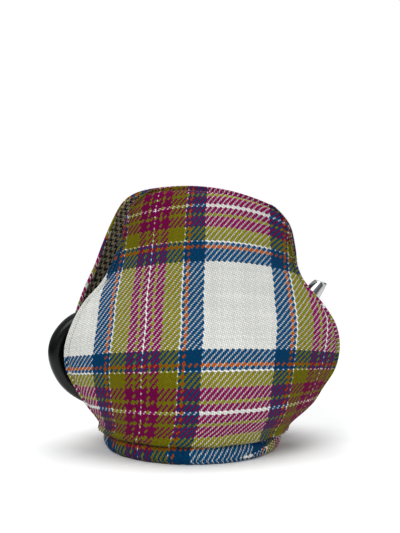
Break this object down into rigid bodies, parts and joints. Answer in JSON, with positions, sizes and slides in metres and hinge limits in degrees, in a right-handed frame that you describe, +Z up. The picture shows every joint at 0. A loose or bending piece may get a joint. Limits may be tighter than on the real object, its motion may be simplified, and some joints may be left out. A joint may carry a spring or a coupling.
{
  "type": "teapot in a padded tea cosy",
  "caption": "Spun steel teapot with a plastic loop handle, curved spout and hinged lid, inside a padded wool cosy with side openings and an elastic hem.",
  "frame": {"origin": "centre of the flat face of the base disc that the pot stands on", "axes": "+Z up; +X from the handle to the spout; -Y towards the front panel of the cosy"},
  "size_m": [0.2557, 0.1708, 0.23],
  "materials": {
    "polished_steel": "polished stainless steel",
    "brushed_steel": "satin stainless steel, brushed round the axis",
    "black_plastic": "moulded heat-proof plastic, glossy",
    "tartan_wool": "twill-woven wool check in white, blue, olive, magenta and orange",
    "check_lining": "small black and cream broken check",
    "wadding": "polyester wadding",
    "seam_tape": "woven seam tape",
    "elastic": "covered elastic"
  },
  "bodies": {
    "teapot": {"pot_body": "brushed_steel", "base_disc": "brushed_steel", "mouth_rim": "polished_steel", "strainer_plate": "brushed_steel", "spout": "polished_steel", "handle_upper_bracket": "brushed_steel", "handle_lower_bracket": "brushed_steel", "handle_grip": "black_plastic", "handle_upper_screw": "polished_steel", "handle_lower_screw": "polished_steel", "hinge_bracket": "brushed_steel", "hinge_pin": "polished_steel"},
    "lid": {"hinge_leaf": "brushed_steel", "lid_shell": "polished_steel", "lid_skirt": "brushed_steel", "knob_washer": "polished_steel", "lid_knob": "black_plastic", "knob_screw": "brushed_steel"},
    "cosy": {"front_outer": "tartan_wool", "front_wadding": "wadding", "front_lining": "check_lining", "back_outer": "tartan_wool", "back_wadding": "wadding", "back_lining": "check_lining", "crown_tape": "seam_tape", "left_seam_tack": "seam_tape", "right_seam_tack": "seam_tape", "hem_casing": "tartan_wool", "hem_elastic": "elastic"}
  },
  "joints": [
    {"name": "lid_hinge", "type": "hinge", "parent": "teapot", "child": "lid", "pos_m": [-0.0355, 0, 0.1191], "axis": [0, -1, 0], "range_deg": [0, 72]},
    {"name": "cosy_lift", "type": "slide", "parent": "teapot", "child": "cosy", "axis": [0, 0, 1], "range_m": [0, 0.17], "deforming": ["front_outer", "front_wadding", "front_lining", "back_outer", "back_wadding", "back_lining", "left_seam_tack", "right_seam_tack", "hem_casing", "hem_elastic"]}
  ]
}
